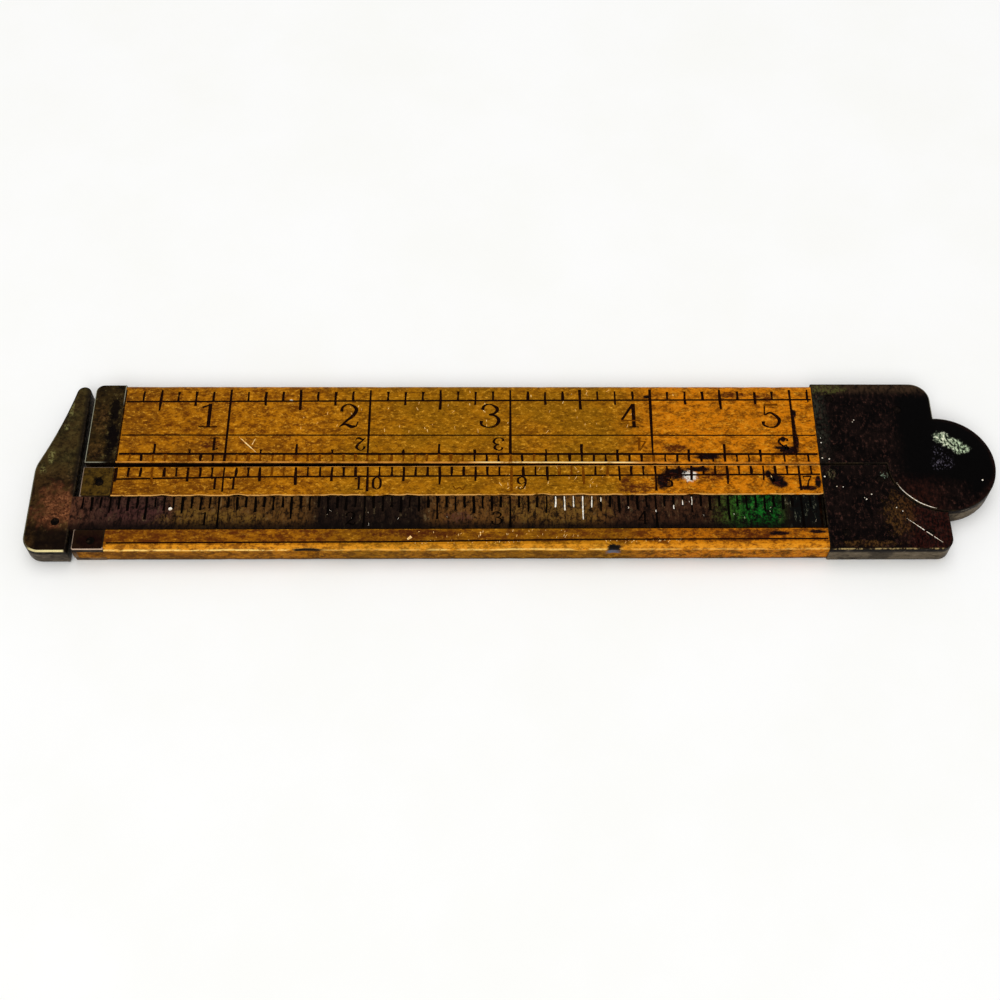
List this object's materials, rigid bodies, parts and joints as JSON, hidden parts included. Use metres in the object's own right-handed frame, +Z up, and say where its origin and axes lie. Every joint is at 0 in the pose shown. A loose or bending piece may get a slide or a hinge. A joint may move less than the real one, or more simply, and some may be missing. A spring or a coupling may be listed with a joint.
{
  "type": "folding caliper rule",
  "caption": "Flat folding rule of wooden legs on a round brass knuckle joint, with a sliding brass caliper jaw let into one leg.",
  "frame": {"origin": "on the surface that the rule lies on, under the middle of its outline at rest", "axes": "+X along the folded rule from the caliper's jaw to the knuckle, +Y across it from the caliper leg to the plain leg, +Z up through its thickness"},
  "size_m": [0.1701, 0.0344, 0.004],
  "materials": {
    "boxwood": "old varnished boxwood, amber, dark scale marks",
    "tarnished_brass": "old brass tarnished dark brown and olive",
    "brass_pins": "tarnished brass, filed flush"
  },
  "bodies": {
    "caliper_leg": {"caliper_leg_stock": "boxwood", "caliper_leg_tip": "tarnished_brass", "caliper_leg_tip_rivets": "brass_pins", "hinge_tongue": "tarnished_brass", "caliper_leg_top_plate": "tarnished_brass", "caliper_leg_bottom_plate": "tarnished_brass", "caliper_leg_plate_rivets": "brass_pins", "caliper_leg_tang_pin": "brass_pins", "slide_stop_pin": "brass_pins"},
    "plain_leg": {"plain_leg_stock": "boxwood", "plain_leg_tip": "tarnished_brass", "plain_leg_tip_rivets": "brass_pins", "hinge_filler": "tarnished_brass", "hinge_top_leaf": "tarnished_brass", "hinge_bottom_leaf": "tarnished_brass", "plain_leg_plate_rivets": "brass_pins", "plain_leg_tang_pin": "brass_pins", "hinge_pivot_pin": "brass_pins"},
    "caliper": {"caliper_slide": "tarnished_brass", "caliper_jaw": "tarnished_brass", "jaw_rivet": "brass_pins"}
  },
  "joints": [
    {"name": "leg_hinge", "type": "hinge", "parent": "caliper_leg", "child": "plain_leg", "pos_m": [0.07545, -0.00008, 0.002], "axis": [0, 0, -1], "range_deg": [-0.2, 179.8]},
    {"name": "caliper_slide_joint", "type": "slide", "parent": "caliper_leg", "child": "caliper", "axis": [-1, 0, 0], "range_m": [-0.00075, 0.10085]}
  ]
}
